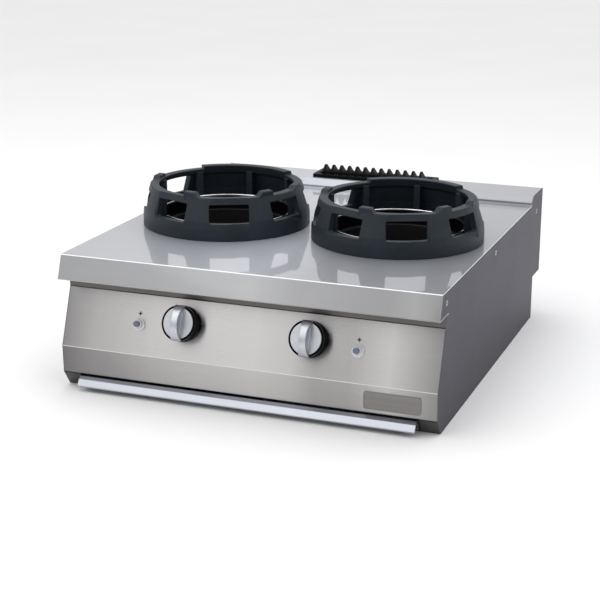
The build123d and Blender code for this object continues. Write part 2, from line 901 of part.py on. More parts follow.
    # Cast head on an upright neck, with the mixing tube running to the front.
    with BuildPart() as burner:
        place = at_ring(sign, burner_z)
        mixer = Plane(
            origin=place.origin - Vector(0, 0, burner_z - mixer_z),
            x_dir=(1, 0, 0),
            z_dir=(0, -1, 0),
        )
        bell = mixer.offset(mixer_length)
        yoke = bell.offset(bell_length + injector_gap)
        add(
            turned(
                [
                    (0, 0),
                    (burner_radius, 0),
                    (burner_radius, burner_height),
                    (0, burner_height),
                ],
                place,
            )
        )
        with BuildSketch(place):
            Circle(neck_radius)
        extrude(amount=-mixer_drop)
        with Locations(mixer):
            Sphere(neck_radius)
        with BuildSketch(mixer):
            Circle(mixer_radius)
        extrude(amount=mixer_length)
        add(
            turned(
                [
                    (mixer_radius - mixer_wall, 0),
                    (mixer_radius, 0),
                    (bell_radius, bell_length),
                    (bell_radius - mixer_wall, bell_length),
                ],
                bell,
            )
        )
        with BuildSketch(yoke):
            Rectangle(2 * bell_radius, yoke_width)
        extrude(amount=yoke_thickness)
        with BuildSketch(bell.offset(bell_length - mixer_wall)):
            with GridLocations(2 * bell_radius - yoke_thickness, 0, 2, 1):
                Rectangle(yoke_thickness, yoke_width)
        extrude(amount=injector_gap + mixer_wall + yoke_thickness)
        with BuildSketch(yoke):
            Circle(injector_radius + spindle_clearance)
        extrude(amount=yoke_thickness, mode=Mode.SUBTRACT)
        add(
            turned(
                [
                    (0, burner_wall),
                    (burner_radius - burner_wall, burner_wall),
                    (burner_radius - burner_wall, burner_height),
                    (0, burner_height),
                ],
                place,
            ),
            mode=Mode.SUBTRACT,
        )
        with BuildSketch(place.offset(burner_wall)):
            Circle(neck_radius - mixer_wall)
        extrude(amount=-mixer_drop - burner_wall, mode=Mode.SUBTRACT)
        with BuildSketch(mixer):
            Circle(mixer_radius - mixer_wall)
        extrude(amount=mixer_length + bell_length / 3, mode=Mode.SUBTRACT)
    save(burner, f"burner_body_{name}")

    with BuildPart() as cap:
        place = at_ring(sign, burner_z + burner_height + cap_gap)
        add(
            turned(
                [
                    (cap_seat_radius - burner_wall, -cap_lip),
                    (cap_seat_radius, -cap_lip),
                    (cap_seat_radius, 0),
                    (burner_radius, 0),
                    (burner_radius, cap_thickness - cap_lip),
                    (burner_radius - cap_lip, cap_thickness),
                    (cap_bore, cap_thickness),
                    (cap_bore, cap_ceiling),
                    (cap_seat_radius - burner_wall, cap_ceiling),
                ],
                place,
            )
        )
        with BuildSketch(place):
            with PolarLocations(burner_radius - cap_port_depth, cap_ports):
                Rectangle(4 * cap_port_depth, cap_port_width)
        extrude(amount=cap_port_depth, mode=Mode.SUBTRACT)
        with BuildSketch(place):
            with PolarLocations((burner_radius + cap_bore) / 2, cap_ports // 2):
                Circle(cap_port_width / 2)
        extrude(amount=cap_thickness, mode=Mode.SUBTRACT)
    save(cap, f"burner_cap_{name}")

    place = at_ring(sign, burner_z)
    fittings = {
        "pilot": (-probe_step, pilot_radius, pilot_height),
        "thermocouple": (0, thermocouple_radius, thermocouple_height),
        "electrode": (probe_step, electrode_radius, electrode_height),
    }
    for fitting, (angle, radius, rise) in fittings.items():
        foot = around(place, angle, probe_circle, 0)
        upright = Plane(origin=foot.origin, x_dir=foot.x_dir, z_dir=(0, 0, 1))
        with BuildPart() as probe:
            add(
                turned(
                    [
                        (0, 0),
                        (radius + probe_collar, 0),
                        (radius + probe_collar, probe_collar),
                        (radius, 2 * probe_collar),
                        (radius, rise - 3 * radius),
                        (radius * probe_shoulder, rise - 2 * radius),
                        (radius * probe_shoulder, rise - radius / 2),
                        (radius * probe_point, rise),
                        (0, rise),
                    ],
                    upright,
                )
            )
        save(probe, f"{fitting}_{name}")

# ------------------------------------------------------------------ controls and gas

manifold_centre = on_panel(0, knob_up, -outlet_set).origin
manifold_centre = manifold_centre - on_panel(0, 0).y_dir * manifold_drop

for name, sign in sides.items():
    knob_x = sign * knob_spacing / 2
    knob_place = on_panel(knob_x, knob_up)
    knob_axis = Axis(knob_place.origin, knob_place.z_dir)
    outlet = on_panel(knob_x, knob_up, -outlet_set)

    with BuildPart() as valve:
        add(
            turned(
                [
                    (rotor_radius + spindle_clearance, -2 * sheet),
                    (valve_neck_radius, -2 * sheet),
                    (valve_neck_radius, -valve_front),
                    (valve_radius, -valve_front - valve_shoulder),
                    (valve_radius, -valve_front - valve_length),
                    (0, -valve_front - valve_length),
                    (0, -valve_front - valve_length + 2 * sheet),
                    (rotor_radius + spindle_clearance, -valve_front - valve_length + 2 * sheet),
                ],
                knob_place,
            )
        )
        with BuildSketch(Plane(origin=outlet.origin, x_dir=outlet.y_dir, z_dir=(sign, 0, 0))):
            Circle(nipple_radius)
            Circle(branch_bore, mode=Mode.SUBTRACT)
        extrude(amount=valve_radius + nipple_length)
        with BuildSketch(Plane(origin=outlet.origin, x_dir=(1, 0, 0), z_dir=-outlet.y_dir)):
            Circle(nipple_radius)
            Circle(branch_bore, mode=Mode.SUBTRACT)
        extrude(amount=manifold_drop - manifold_radius - 2 * rotor_clearance)
        bore_length = valve_length + valve_front
        with BuildSketch(knob_place):
            Circle(rotor_radius + spindle_clearance)
        extrude(amount=2 * sheet - bore_length, mode=Mode.SUBTRACT)
    save(valve, f"valve_body_{name}")

    with BuildPart() as rotor:
        rotor_back = 3 * sheet - valve_front - valve_length
        add(
            turned(
                [
                    (0, rotor_back),
                    (rotor_radius, rotor_back),
                    (rotor_radius, -rotor_set),
                    (spindle_radius + spindle_clearance, -rotor_set),
                    (spindle_radius + spindle_clearance, rotor_back + rotor_floor),
                    (0, rotor_back + rotor_floor),
                ],
                knob_place,
            )
        )
        with BuildSketch(Plane(origin=outlet.origin, x_dir=outlet.y_dir, z_dir=(1, 0, 0))):
            Circle(branch_bore)
        extrude(amount=rotor_radius, mode=Mode.SUBTRACT)
    save(rotor, f"valve_rotor_{name}")

    with BuildPart() as spindle:
        spindle_back = rotor_back + rotor_floor + 2 * knob_travel
        add(
            turned(
                [
                    (0, spindle_back),
                    (spindle_radius, spindle_back),
                    (spindle_radius, knob_face_out - 2 * face_thickness),
                    (0, knob_face_out - 2 * face_thickness),
                ],
                knob_place,
            )
        )
    save(spindle, f"valve_spindle_{name}")

    with BuildPart() as skirt:
        with BuildSketch(lathe_plane(knob_place)):
            with BuildLine():
                Polyline(
                    (spindle_radius + spindle_clearance, knob_panel_gap),
                    (knob_base_radius, knob_panel_gap),
                    (knob_waist_radius, knob_face_out - knob_rim - knob_flare),
                    (knob_radius, knob_face_out - knob_rim),
                    (knob_radius, knob_face_out),
                    (face_radius + face_gap, knob_face_out),
                    (face_radius + face_gap, knob_face_out - face_thickness),
                    (spindle_radius + spindle_clearance, knob_face_out - face_thickness),
                    close=True,
                )
            make_face()
        revolve(axis=knob_axis)
        fillet(skirt.edges().filter_by(GeomType.CIRCLE).sort_by(SortBy.RADIUS)[-5:], knob_round)
    save(skirt, f"knob_skirt_{name}")

    # Satin face with a crowned grip bar; a raised pointer line runs along its flank.
    with BuildPart(mode=Mode.PRIVATE) as crown:
        grip_base = knob_face_out + touch
        grip_draft = grip_half_base - grip_half_top
        with BuildSketch(lathe_plane(knob_place)):
            with BuildLine():
                Polyline(
                    (-grip_half_base, grip_base),
                    (grip_half_base, grip_base),
                    (grip_half_base - 2 * grip_draft, grip_base + 2 * grip_rise),
                    (2 * grip_draft - grip_half_base, grip_base + 2 * grip_rise),
                    close=True,
                )
            make_face()
        extrude(amount=knob_radius, both=True)
        side_plane = Plane(
            origin=knob_place.origin,
            x_dir=knob_place.y_dir,
            z_dir=knob_place.y_dir.cross(knob_place.z_dir),
        )
        with BuildSketch(side_plane):
            with BuildLine():
                ThreePointArc(
                    (-knob_radius, grip_base),
                    (0, grip_base + grip_rise),
                    (knob_radius, grip_base),
                )
                Line((knob_radius, grip_base), (-knob_radius, grip_base))
            make_face()
        extrude(amount=2 * grip_half_base, both=True, mode=Mode.INTERSECT)
        fillet(crown.edges().filter_by(GeomType.ELLIPSE), grip_round)
    with BuildPart() as face:
        with BuildSketch(on_panel(knob_x, knob_up, knob_face_out - face_thickness + touch)):
            Circle(face_radius)
        extrude(amount=face_thickness + face_proud)
        add(crown.part)
        pointer_x = grip_half_base
        pointer_x -= (grip_half_base - grip_half_top) * pointer_up / grip_rise
        pointer_end = on_panel(knob_x + pointer_x, knob_up, knob_face_out + pointer_up)
        with BuildSketch(Plane(origin=pointer_end.origin, x_dir=(1, 0, 0), z_dir=pointer_end.y_dir)):
            Circle(pointer_width / 2)
        extrude(amount=pointer_length / 2, both=True)
    save(face, f"knob_face_{name}")

    # Push-button igniter.
    spark_place = on_panel(sign * igniter_spacing / 2, igniter_up)
    button_bore = button_radius + button_clearance
    with BuildPart() as bezel:
        add(
            turned(
                [
                    (button_bore, -bezel_back),
                    (bezel_barrel_radius, -bezel_back),
                    (bezel_barrel_radius, touch),
                    (bezel_radius, touch),
                    (bezel_radius, bezel_flange - bezel_edge),
                    (bezel_radius - bezel_edge, bezel_flange),
                    (bezel_barrel_radius + bezel_edge, bezel_flange),
                    (bezel_barrel_radius, bezel_flange + bezel_edge),
                    (bezel_barrel_radius - bezel_edge / 2, bezel_out - bezel_edge / 2),
                    (bezel_barrel_radius - bezel_edge, bezel_out),
                    (button_bore, bezel_out),
                ],
                spark_place,
            )
        )
    save(bezel, f"igniter_bezel_{name}")
    with BuildPart() as button:
        add(
            turned(
                [
                    (0, -bezel_back - button_stem),
                    (button_radius, -bezel_back - button_stem),
                    (button_radius, button_out - button_edge),
                    (button_radius - button_edge / 3, button_out - button_edge / 3),
                    (button_radius - button_edge, button_out),
                    (0, button_out),
                ],
                spark_place,
            )
        )
    save(button, f"igniter_button_{name}")
    with BuildPart() as igniter:
        add(
            turned(
                [
                    (0, -bezel_back - igniter_length),
                    (igniter_radius, -bezel_back - igniter_length),
                    (igniter_radius, -bezel_back - touch),
                    (button_bore, -bezel_back - touch),
                    (button_bore, -bezel_back - button_stem - 2 * button_travel),
                    (0, -bezel_back - button_stem - 2 * button_travel),
                ],
                spark_place,
            )
        )
    save(igniter, f"igniter_{name}")

    # Injector in the burner's yoke and the pipe that feeds it.
    yoke_front = ring_centre_y - mixer_length - bell_length - injector_gap - yoke_thickness
    nozzle = Plane(
        origin=(sign * ring_spacing / 2, yoke_front - injector_length / 2, mixer_z),
        x_dir=(1, 0, 0),
        z_dir=(0, 1, 0),
    )
    with BuildPart() as injector:
        add(
            turned(
                [
                    (branch_bore, 0),
                    (injector_radius, 0),
                    (injector_radius, injector_length - injector_cone),
                    (injector_radius / 2, injector_length),
                    (injector_orifice, injector_length),
                    (injector_orifice, injector_length - 2 * injector_cone),
                    (branch_bore, injector_length - 3 * injector_cone),
                ],
                nozzle,
            )
        )
    save(injector, f"injector_{name}")

    with BuildPart() as branch:
        tip_x = knob_x + sign * (valve_radius + nipple_length + touch)
        add(
            tube(
                [
                    (tip_x, outlet.origin.Y, outlet.origin.Z),
                    (sign * ring_spacing / 2, outlet.origin.Y, outlet.origin.Z),
                    (sign * ring_spacing / 2, nozzle.origin.Y - touch, mixer_z),
                ],
                branch_bend,
                branch_radius,
                branch_bore,
            )
        )
    save(branch, f"gas_pipe_{name}")

with BuildPart() as manifold:
    manifold_left = -knob_spacing / 2 - manifold_end
    with BuildSketch(Plane.YZ.offset(manifold_left)):
        with Locations((manifold_centre.Y, manifold_centre.Z)):
            Circle(manifold_radius)
    extrude(amount=supply_x - 2 * supply_bend - manifold_left)
    with BuildSketch(Plane.YZ.offset(supply_x - 2 * supply_bend)):
        with Locations((manifold_centre.Y, manifold_centre.Z)):
            Circle(manifold_bore)
    extrude(amount=-(supply_x - 2 * supply_bend - manifold_left - sheet), mode=Mode.SUBTRACT)
save(manifold, "gas_manifold")

with BuildPart() as supply:
    pipe_end_y = base_rear_y + supply_out
    add(
        tube(
            [
                (supply_x - 2 * supply_bend + touch, manifold_centre.Y, manifold_centre.Z),
                (supply_x, manifold_centre.Y, manifold_centre.Z),
                (supply_x, manifold_centre.Y + supply_fall, supply_z),
                (supply_x, pipe_end_y - thread_length, supply_z),
            ],
            supply_bend,
            manifold_radius,
            manifold_bore,
        )
    )
    with BuildSketch(Plane.XZ.offset(-(pipe_end_y - thread_length))):
        with Locations((supply_x, supply_z)):
            Circle(thread_radius)
            Circle(manifold_bore, mode=Mode.SUBTRACT)
    extrude(amount=-thread_length)
save(supply, "gas_supply_pipe")

with BuildPart() as supply_nut:
    with BuildSketch(Plane.XZ.offset(-(base_rear_y + touch))):
        with Locations((supply_x, supply_z)):
            RegularPolygon(nut_across / 2, 6, major_radius=False)
            Circle(manifold_radius + touch, mode=Mode.SUBTRACT)
    extrude(amount=-nut_thickness)
save(supply_nut, "supply_nut")

# ------------------------------------------------------------------ fasteners

with BuildPart() as joining_inserts:
    for sign in sides.values():
        for y in insert_ys:
            seat = Plane(origin=(sign * half_width, y, insert_z), z_dir=(-sign, 0, 0))
            add(
                turned(
                    [
                        (insert_bore, 0),
                        (insert_radius, 0),
                        (insert_radius, sheet + touch),
                        (insert_flange_radius, sheet + touch),
                        (insert_flange_radius, 2 * sheet),
                        (insert_radius, 2 * sheet),
                        (insert_radius, insert_length),
                        (insert_bore, insert_length),
                    ],
                    seat,
                )
            )
save(joining_inserts, "joining_inserts")

with BuildPart() as panel_screws:
    for sign in sides.values():
        for z in screw_zs:
            seat = Plane(origin=(sign * screw_x, rear_wall_y + touch, z), z_dir=(0, 1, 0))
            add(
                turned(
                    [
                        (0, -screw_length),
                        (screw_radius, -screw_length),
                        (screw_radius, 0),
                        (screw_head_radius, 0),
                        (screw_head_radius, screw_head / 3),
                        (screw_head_radius / 2, screw_head),
                        (0, screw_head),
                    ],
                    seat,
                )
            )
save(panel_screws, "panel_screws")
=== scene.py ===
import json
from math import cos, radians, sin

import bmesh
import bpy
from mathutils import Matrix, Vector


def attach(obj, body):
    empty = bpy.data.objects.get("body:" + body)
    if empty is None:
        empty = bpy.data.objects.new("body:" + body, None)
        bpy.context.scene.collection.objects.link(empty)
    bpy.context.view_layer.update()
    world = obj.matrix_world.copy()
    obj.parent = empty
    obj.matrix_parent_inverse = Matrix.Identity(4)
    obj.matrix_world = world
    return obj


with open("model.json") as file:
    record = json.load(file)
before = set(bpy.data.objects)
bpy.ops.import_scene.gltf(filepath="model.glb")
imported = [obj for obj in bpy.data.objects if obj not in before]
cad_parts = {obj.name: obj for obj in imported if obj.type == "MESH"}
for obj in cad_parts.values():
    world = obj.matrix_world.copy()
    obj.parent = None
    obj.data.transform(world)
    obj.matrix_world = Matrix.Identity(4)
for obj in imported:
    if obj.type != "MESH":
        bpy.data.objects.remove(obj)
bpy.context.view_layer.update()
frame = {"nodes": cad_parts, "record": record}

# Everything is in metres, unless its name or comment says otherwise.

# The painted reflection grades across the front run over the part's width, X = -HALF_WIDTH to HALF_WIDTH.
HALF_WIDTH = 0.4

# Heights where the painted light and shade on one sheet change
UNDER_ALL, OVER_ALL = -1.0, 1.0  # below and above the whole part
FASCIA_TOP = 0.2803  # worktop sheet below its front fold
FOLD_LOW, FOLD_HIGH = 0.2804, 0.28175  # the worktop's front fold
LOWER_FACE_TOP = 0.0895  # control panel below its crease
CREASE_LOW, CREASE_HIGH = 0.0893, 0.0908
# Above the tray's rim the handle's top sheet is painted darker as the control panel's shade
TRAY_RIM = 0.0243  # above it lies only the handle's top sheet
# Collars are painted dark below their rim as shade in the burner's hollow
HOLLOW_SHADE_TOP = 0.3070  # collars below their bright rim

# Painted reflection: brightness across the width, as (X, level)
WORKTOP_REFLECTION_LEVELS = [(-0.4, 0.82), (-0.2, 0.90), (-0.06, 1.06), (0.02, 1.10), (0.12, 0.74), (0.4, 0.62)]
FASCIA_REFLECTION_LEVELS = [
    (-0.4, 0.96), (-0.3, 0.96), (-0.06, 0.94), (0.04, 0.96), (0.14, 1.08), (0.3, 1.0), (0.35, 1.2),
    (0.4, 1.0),
]
PANEL_REFLECTION_LEVELS = [
    (-0.4, 0.44), (-0.33, 0.70), (-0.2, 0.88), (0.02, 0.92), (0.1, 0.82), (0.15, 0.62), (0.22, 0.64),
    (0.3, 0.9), (0.4, 0.5),
]
LOWER_FACE_REFLECTION_LEVELS = [(-0.4, 0.66), (-0.3, 0.66), (-0.12, 0.9), (0.05, 1.0), (0.2, 1.0), (0.4, 0.95)]

# Control panel's raked face, seen from the side: its crease and its top edge
PANEL_CREASE = Vector((0, -0.4425, 0.090))
PANEL_TOP = Vector((0, -0.400, 0.206))

# Printed stars above the two igniters
MARK_X = 0.233
MARK_UP = 0.084  # along the panel from the crease
MARK_BACK, MARK_FRONT = 0.00003, 0.00012  # out from the panel
STAR_POINTS = 4
STAR_TIP_MM, STAR_NOTCH_MM = 5.6, 2.3  # radii

# Studio
FLOOR_HALF = 20
FLOOR_DARK, FLOOR_LIGHT = (0.90, 0.90, 0.90), (0.92, 0.92, 0.92)
SKY_RISE = [(0.0, (0.74, 0.74, 0.74)), (0.35, (0.86, 0.86, 0.87)), (1.0, (1.25, 1.25, 1.26))]
# Upright bands in front of the part, as (sideways over forward, level)
SKY_BANDS = [
    (0.20, 0.50), (0.268, 0.55), (0.296, 1.0), (0.335, 0.64), (0.39, 0.92), (0.466, 1.0), (0.577, 0.80),
    (0.75, 0.72),
]
SKY_BANDS_FULL, SKY_BANDS_GONE = -0.35, -0.1  # Y of the directions where they are full and gone
# Area lights: name, place, point they look at, width and height, watts, tint
LIGHTS = [
    ("key_light", (-1.6, -1.9, 2.6), (0, 0, 0.2), (4.2, 3.2), 34, (1.0, 0.99, 0.98)),
    ("top_light", (0.1, 0.6, 2.9), (0, 0, 0.2), (3.0, 2.2), 22, (0.97, 0.98, 1.0)),
    ("fill_light", (2.6, -1.6, 1.6), (0.2, 0, 0.2), (1.4, 1.4), 5, (1, 1, 1)),
]

# Camera: angles in degrees, lens and sensor in millimetres
CAMERA_AZIMUTH, CAMERA_ELEVATION, CAMERA_ROLL = 20.601, 16.921, 0.182
CAMERA_DISTANCE, CAMERA_ACROSS, CAMERA_ABOVE = 3.3788, -0.0414, 0.1011
LENS_MM, SENSOR_MM = 90.17, 36.0
CAMERA_FAR = 100.0


# ---------------------------------------------------------------- shader helpers

EVEN = (1, 1, 1)
GRAIN = {"X": (0.004, 1, 1), "Y": (1, 0.004, 1), "all": EVEN}  # rolled along that axis
FINE_EDGE, CAST_EDGE = 0.0008, 0.0025  # radius within which an edge looks rubbed
FINE_RELIEF = 0.00002  # depth of rolled grain and tool marks
RUBBED, FLAT = 0.72, 0.985  # cosine of the softened normal to the true one


def shader(name):
    """New material; returns it with its node tree and its surface shader."""
    made = bpy.data.materials.new(name)
    made.use_nodes = True
    return made, made.node_tree, made.node_tree.nodes["Principled BSDF"]


def add(tree, kind, **values):
    """New node with its input sockets and properties set by name."""
    node = tree.nodes.new(kind)
    for key, value in values.items():
        if key in node.inputs:
            node.inputs[key].default_value = value
        else:
            setattr(node, key, value)
    return node


def noise(tree, scale, stretch=EVEN, detail=2.0, rough=0.5):
    """Noise in the row frame, scale per metre, stretched along an axis by a small factor."""
    place = add(tree, "ShaderNodeTexCoord")
    move = add(tree, "ShaderNodeMapping")
    move.inputs["Scale"].default_value = [scale * s for s in stretch]
    tree.links.new(place.outputs["Object"], move.inputs["Vector"])
    made = add(tree, "ShaderNodeTexNoise", Scale=1.0, Detail=detail, Roughness=rough)
    tree.links.new(move.outputs["Vector"], made.inputs["Vector"])
    return made.outputs["Fac"]


def parts_of(tree, source):
    """X, Y and Z sockets of a texture coordinate."""
    place = add(tree, "ShaderNodeTexCoord")
    split = add(tree, "ShaderNodeSeparateXYZ")
    tree.links.new(place.outputs[source], split.inputs[0])
    return split.outputs


def remap(tree, value, low, high, start=0.3, end=0.7):
    """Value taken from one range to another, held at its ends."""
    made = add(tree, "ShaderNodeMapRange")
    made.inputs["From Min"].default_value = start
    made.inputs["From Max"].default_value = end
    made.inputs["To Min"].default_value = low
    made.inputs["To Max"].default_value = high
    tree.links.new(value, made.inputs["Value"])
    return made.outputs["Result"]


def blend_colour(tree, factor, first, second, blend_type="MIX"):
    """Mix of two colours, each given as numbers or as a socket."""
    made = add(tree, "ShaderNodeMix", data_type="RGBA", blend_type=blend_type)
    if isinstance(factor, float):
        made.inputs[0].default_value = factor
    else:
        tree.links.new(factor, made.inputs[0])
    for socket, colour in ((made.inputs[6], first), (made.inputs[7], second)):
        if isinstance(colour, (tuple, list)):
            socket.default_value = (*colour, 1.0)
        else:
            tree.links.new(colour, socket)
    return made.outputs[2]


def maths(tree, operation, first, second):
    """Math node on numbers or sockets."""
    made = add(tree, "ShaderNodeMath", operation=operation)
    for socket, value in zip(made.inputs, (first, second)):
        if isinstance(value, (int, float)):
            socket.default_value = value
        else:
            tree.links.new(value, socket)
    return made.outputs[0]


def total(tree, first, *others):
    """Sum of sockets and numbers."""
    for other in others:
        first = maths(tree, "ADD", first, other)
    return first


def ramp(tree, value, stops):
    """Colour ramp with (position, level) stops, a level being a grey or a colour."""
    made = add(tree, "ShaderNodeValToRGB")
    marks = made.color_ramp.elements
    marks[0].position, marks[1].position = stops[0][0], stops[-1][0]
    for where, _ in stops[1:-1]:
        marks.new(where)
    for mark, (_, level) in zip(marks, stops):
        mark.color = (*level, 1) if isinstance(level, tuple) else (level, level, level, 1)
    tree.links.new(value, made.inputs["Fac"])
    return made.outputs["Color"]


def edge_mask(tree, radius, samples=4):
    """1 on sharp edges and 0 on flats, and the normal with its edges softened."""
    soft = add(tree, "ShaderNodeBevel", samples=samples)
    soft.inputs["Radius"].default_value = radius
    flat = add(tree, "ShaderNodeNewGeometry")
    dot = add(tree, "ShaderNodeVectorMath", operation="DOT_PRODUCT")
    tree.links.new(soft.outputs["Normal"], dot.inputs[0])
    tree.links.new(flat.outputs["Normal"], dot.inputs[1])
    return remap(tree, dot.outputs["Value"], 1.0, 0.0, RUBBED, FLAT), soft.outputs["Normal"]


def height_mask(tree, low, high, soft=0.0003):
    """1 between two heights and 0 outside them."""
    height = parts_of(tree, "Object")["Z"]
    over = remap(tree, height, 0.0, 1.0, low - soft, low + soft)
    under = remap(tree, height, 1.0, 0.0, high - soft, high + soft)
    return maths(tree, "MULTIPLY", over, under)


def bump(tree, bsdf, height, distance, strength, normal):
    """Relief from a height socket."""
    made = add(tree, "ShaderNodeBump", Strength=strength, Distance=distance)
    tree.links.new(height, made.inputs["Height"])
    tree.links.new(normal, made.inputs["Normal"])
    tree.links.new(made.outputs["Normal"], bsdf.inputs["Normal"])


def reflection_graded(tree, colour, levels):
    """Colour scaled by soft steps along the width, from the cook's left to right, as painted reflection bands.
    """
    across = remap(tree, parts_of(tree, "Object")["X"], 0.0, 1.0, -HALF_WIDTH, HALF_WIDTH)
    steps = ramp(tree, across, [((x + HALF_WIDTH) / (2 * HALF_WIDTH), level) for x, level in levels])
    return blend_colour(tree, 1.0, colour, steps, "MULTIPLY")


def scaled(tone, factor, lift=0.0):
    """Tone made lighter or darker, kept under white."""
    return [min(1.0, c * factor + lift) for c in tone]


# ---------------------------------------------------------------- kinds of finish

def steel(
    name, tone, dull, grain="X", spread=0.05, scratch=0.5, cloud=0.06, stretch=0.0, wear=0.25, film=0.0,
    edge_size=0.0012, levels=None, metal=1.0, rim=None,
):
    """Stainless sheet: fine rolled grain, faint smears and brighter cut edges.

    dull is the roughness and spread how far it wanders, scratch the strength of the grain's relief, cloud the
    mottling, stretch the smear of highlights across the grain, wear the brightness of edges, film a clear
    gloss, levels the painted reflection bands across the width, and rim the tint at a grazing angle.
    """
    made, tree, bsdf = shader(name)
    bsdf.inputs["Metallic"].default_value = metal
    if rim:
        bsdf.inputs["Specular Tint"].default_value = (*rim, 1.0)
    fine = noise(tree, 1500.0, GRAIN[grain], rough=0.7)
    broad = noise(tree, 160.0, GRAIN[grain])
    smear = noise(tree, 7.0, detail=3.0, rough=0.55)
    edge, soft = edge_mask(tree, edge_size)
    base = blend_colour(tree, remap(tree, broad, 0, 1), scaled(tone, 1 - cloud), scaled(tone, 1 + cloud))
    base = blend_colour(tree, remap(tree, smear, 0, 0.5, 0.35, 0.7), base, scaled(tone, 1 - 1.4 * cloud))
    base = blend_colour(tree, maths(tree, "MULTIPLY", edge, wear), base, scaled(tone, 1.25, 0.08))
    # Painted reflection bands across the width
    if levels:
        base = reflection_graded(tree, base, levels)
    tree.links.new(base, bsdf.inputs["Base Color"])
    streak = remap(tree, fine, -spread, spread)
    patch = remap(tree, smear, -spread * 0.6, spread * 0.6)
    tree.links.new(total(tree, streak, patch, dull), bsdf.inputs["Roughness"])
    if stretch:
        bsdf.inputs["Anisotropic"].default_value = stretch
        line = add(tree, "ShaderNodeTangent", direction_type="RADIAL", axis=grain)
        tree.links.new(line.outputs["Tangent"], bsdf.inputs["Tangent"])
    if film:
        bsdf.inputs["Coat Weight"].default_value = film
        bsdf.inputs["Coat IOR"].default_value = 1.6
        bsdf.inputs["Coat Roughness"].default_value = 0.045
    bump(tree, bsdf, fine, FINE_RELIEF, scratch, soft)
    return made


def casting(name, tone, dull, pit=0.0002, lump=0.0006, coat=0.0, tint=0.25, wear=0.2, shine=0.5):
    """Cast iron, enamel or primer: fine orange-peel relief and rubbed edges.

    pit and lump are the depths of the fine and the broad relief, tint how far the colour wanders, wear the
    brightness of edges, coat a clear gloss, and shine the strength of reflections.
    """
    made, tree, bsdf = shader(name)
    bsdf.inputs["Specular IOR Level"].default_value = shine
    peel = noise(tree, 900.0, detail=3.0, rough=0.6)
    wave = noise(tree, 60.0)
    patch = noise(tree, 14.0, detail=3.0, rough=0.6)
    edge, soft = edge_mask(tree, CAST_EDGE, samples=6)
    base = blend_colour(tree, remap(tree, patch, 0, 1), scaled(tone, 1 - tint), scaled(tone, 1 + tint))
    base = blend_colour(tree, maths(tree, "MULTIPLY", edge, wear), base, scaled(tone, 1.7, 0.01))
    tree.links.new(base, bsdf.inputs["Base Color"])
    tree.links.new(total(tree, remap(tree, peel, -0.08, 0.08), dull), bsdf.inputs["Roughness"])
    bsdf.inputs["Coat Weight"].default_value = coat
    bsdf.inputs["Coat Roughness"].default_value = 0.28
    height = maths(tree, "ADD", maths(tree, "MULTIPLY", peel, pit), maths(tree, "MULTIPLY", wave, lump))
    bump(tree, bsdf, height, 1.0, 0.8, soft)
    return made


def turned_metal(name, tone, dull):
    """Turned or drawn metal with fine tool marks and a tarnished tint."""
    made, tree, bsdf = shader(name)
    bsdf.inputs["Metallic"].default_value = 1.0
    marks = noise(tree, 2200.0, (0.2, 1, 1), rough=0.6)
    patch = noise(tree, 40.0, detail=3.0, rough=0.6)
    edge, soft = edge_mask(tree, FINE_EDGE)
    base = blend_colour(tree, remap(tree, patch, 0, 1), scaled(tone, 0.82), tone)
    base = blend_colour(tree, maths(tree, "MULTIPLY", edge, 0.3), base, scaled(tone, 1.3))
    tree.links.new(base, bsdf.inputs["Base Color"])
    tarnish = total(tree, remap(tree, patch, 0, 0.08), dull)
    tree.links.new(total(tree, remap(tree, marks, -0.03, 0.03), tarnish), bsdf.inputs["Roughness"])
    bump(tree, bsdf, marks, FINE_RELIEF, 0.4, soft)
    return made


def moulded(name, tone, dull, coat=0.0, speck=0.03, pores=0.00003, tint=0.06, shine=0.5):
    """Moulded plastic or glaze with a faint skin texture and a rubbed sheen.

    speck is how far the roughness wanders, pores the depth of the skin texture, tint how far the colour
    wanders, coat a clear gloss, and shine the strength of reflections.
    """
    made, tree, bsdf = shader(name)
    bsdf.inputs["Specular IOR Level"].default_value = shine
    skin = noise(tree, 2600.0, rough=0.6)
    rub = noise(tree, 35.0, detail=3.0, rough=0.6)
    edge, soft = edge_mask(tree, FINE_EDGE)
    base = blend_colour(tree, remap(tree, rub, 0, 1), scaled(tone, 1 - tint), scaled(tone, 1 + tint))
    base = blend_colour(tree, maths(tree, "MULTIPLY", edge, 0.3), base, scaled(tone, 1.3, 0.01))
    tree.links.new(base, bsdf.inputs["Base Color"])
    sheen = total(tree, remap(tree, skin, -0.02, 0.02), dull)
    tree.links.new(total(tree, remap(tree, rub, -speck, speck), sheen), bsdf.inputs["Roughness"])
    bsdf.inputs["Coat Weight"].default_value = coat
    bsdf.inputs["Coat Roughness"].default_value = 0.06
    bump(tree, bsdf, skin, pores, 0.6, soft)
    return made


# ---------------------------------------------------------------- painted light and shade on a finish

def painted(made):
    """A finish's node tree, its surface shader and the colour that it has so far."""
    tree = made.node_tree
    bsdf = tree.nodes["Principled BSDF"]
    return tree, bsdf, bsdf.inputs["Base Color"].links[0].from_socket


def painted_band_between(made, low, high, tint, levels=None):
    """Painted light and shade: tint, and painted reflection grades across the width, on the part of a finish
    between two heights.
    """
    tree, bsdf, kept = painted(made)
    changed = blend_colour(tree, 1.0, kept, tint, "MULTIPLY")
    if levels:
        changed = reflection_graded(tree, changed, levels)
    mask = height_mask(tree, low, high)
    tree.links.new(blend_colour(tree, mask, kept, changed), bsdf.inputs["Base Color"])
    return made


def fold_line(made, low, high, bright):
    """Bright line where a fold catches the light, between two heights."""
    tree, bsdf, kept = painted(made)
    mask = height_mask(tree, low, high, 0.0001)
    tree.links.new(blend_colour(tree, mask, kept, bright), bsdf.inputs["Base Color"])
    return made


